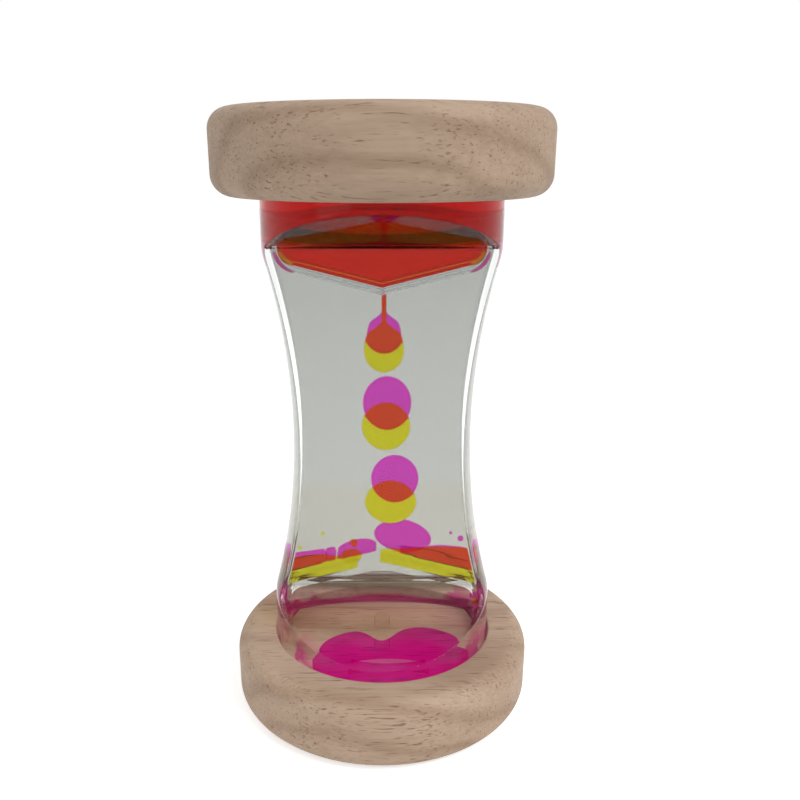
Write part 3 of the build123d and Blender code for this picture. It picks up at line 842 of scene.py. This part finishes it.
# beads and specks
for name, node, material in (("magenta_drip", "magenta_bead", tinted_magenta),
                             ("yellow_drip", "yellow_bead", tinted_yellow)):
    low, high = span(node)
    centre = [(a + b) / 2 for a, b in zip(low, high)]
    drip = ball(name, node, material, [(*centre, (high[0] - low[0]) / 2)])
    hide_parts(node)
specks = ball("yellow_specks_round", ROOT, tinted_yellow,
              [(-7.0, -CELL_MIDDLE, 43.2, 0.95), (-14.7, -CELL_MIDDLE, 45.8, 0.5),
               (-20.5, -CELL_MIDDLE, 41.8, 0.5)])
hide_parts("yellow_specks")
specks = ball("magenta_specks_round", ROOT, tinted_magenta,
              [(20.2, CELL_MIDDLE, 41.2, 0.75), (17.6, CELL_MIDDLE, 42.8, 0.4)])
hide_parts("magenta_specks")


# ---- floor, light and camera ----
def white_view(tree):
    """1 for rays that see the surroundings directly, in a gloss or through clear pieces."""
    path = tree.nodes.new("ShaderNodeLightPath")
    seen = add_math(tree, "ADD", path.outputs["Is Camera Ray"], path.outputs["Is Glossy Ray"])
    return add_math(tree, "ADD", seen, path.outputs["Is Transmission Ray"], clamp=True)


def studio_world(light_level):
    world = bpy.data.worlds.new("studio")
    bpy.context.scene.world = world
    world.use_nodes = True
    tree = world.node_tree
    tree.nodes.clear()
    output = tree.nodes.new("ShaderNodeOutputWorld")
    light = tree.nodes.new("ShaderNodeBackground")
    seen = tree.nodes.new("ShaderNodeBackground")
    mix = tree.nodes.new("ShaderNodeMixShader")
    light.inputs["Color"].default_value = (1.0, 0.99, 0.97, 1)
    light.inputs["Strength"].default_value = light_level
    seen.inputs["Color"].default_value = (1, 1, 1, 1)
    tree.links.new(white_view(tree), mix.inputs["Fac"])
    tree.links.new(light.outputs[0], mix.inputs[1])
    tree.links.new(seen.outputs[0], mix.inputs[2])
    tree.links.new(mix.outputs[0], output.inputs["Surface"])


def pale_floor():
    """White table top that keeps the timer's soft shadow."""
    size, top = 4.0, -0.0002
    corners = [(x, y, top) for x, y in ((-size, -size), (size, -size), (size, size), (-size, size))]
    mesh = bpy.data.meshes.new("table_top")
    mesh.from_pydata(corners, [], [(0, 1, 2, 3)])
    floor = bpy.data.objects.new("table_top", mesh)
    bpy.context.scene.collection.objects.link(floor)
    material, tree, surface = fresh_material("table_top")[:3]
    surface.inputs["Base Color"].default_value = (0.9, 0.9, 0.9, 1)
    surface.inputs["Roughness"].default_value = 0.9
    surface.inputs["Specular IOR Level"].default_value = 0.0
    surface.inputs["Emission Color"].default_value = (1, 1, 1, 1)
    glow = add_math(tree, "MULTIPLY", white_view(tree), 0.58)
    tree.links.new(glow, surface.inputs["Emission Strength"])
    mesh.materials.append(material)


def soft_lamp(name, place, aim, size, power):
    lamp = bpy.data.lights.new(name, "AREA")
    lamp.shape = "RECTANGLE"
    lamp.size, lamp.size_y = size
    lamp.energy = power
    holder = bpy.data.objects.new(name, lamp)
    holder.location = place
    holder.rotation_euler = (Vector(aim) - Vector(place)).to_track_quat("-Z", "Y").to_euler()
    bpy.context.scene.collection.objects.link(holder)


studio_world(0.55)
pale_floor()
aim = (0, 0, MIDDLE * MM)
soft_lamp("overhead_right", (0.45, -0.35, 0.75), aim, (0.5, 0.5), 4.6)
soft_lamp("front_left_fill", (-0.6, -0.6, 0.35), aim, (0.5, 0.6), 0.8)

IMAGE = 800
CAMERA_BACK, CAMERA_HEIGHT, CAMERA_PITCH = 197.8, 134.7, 0.333
FOCAL_PIXELS, CENTRE_X, CENTRE_Y = 851.0, 382.0, 448.0
camera_data = bpy.data.cameras.new("camera")
camera_data.sensor_width = 36.0
camera_data.lens = FOCAL_PIXELS / IMAGE * camera_data.sensor_width
camera_data.shift_x = (IMAGE / 2 - CENTRE_X) / IMAGE
camera_data.shift_y = (CENTRE_Y - IMAGE / 2) / IMAGE
camera_data.clip_start = 0.005
camera = bpy.data.objects.new("camera", camera_data)
camera.location = (0, -CAMERA_BACK * MM, CAMERA_HEIGHT * MM)
camera.rotation_euler = (math.pi / 2 - CAMERA_PITCH, 0, 0)
bpy.context.scene.collection.objects.link(camera)
bpy.context.scene.camera = camera

scene = bpy.context.scene
scene.view_settings.view_transform = "Standard"
BOUNCES = 32
scene.cycles.max_bounces = BOUNCES
scene.cycles.transmission_bounces = BOUNCES
scene.cycles.glossy_bounces = BOUNCES
scene.cycles.transparent_max_bounces = BOUNCES

bpy.context.view_layer.update()
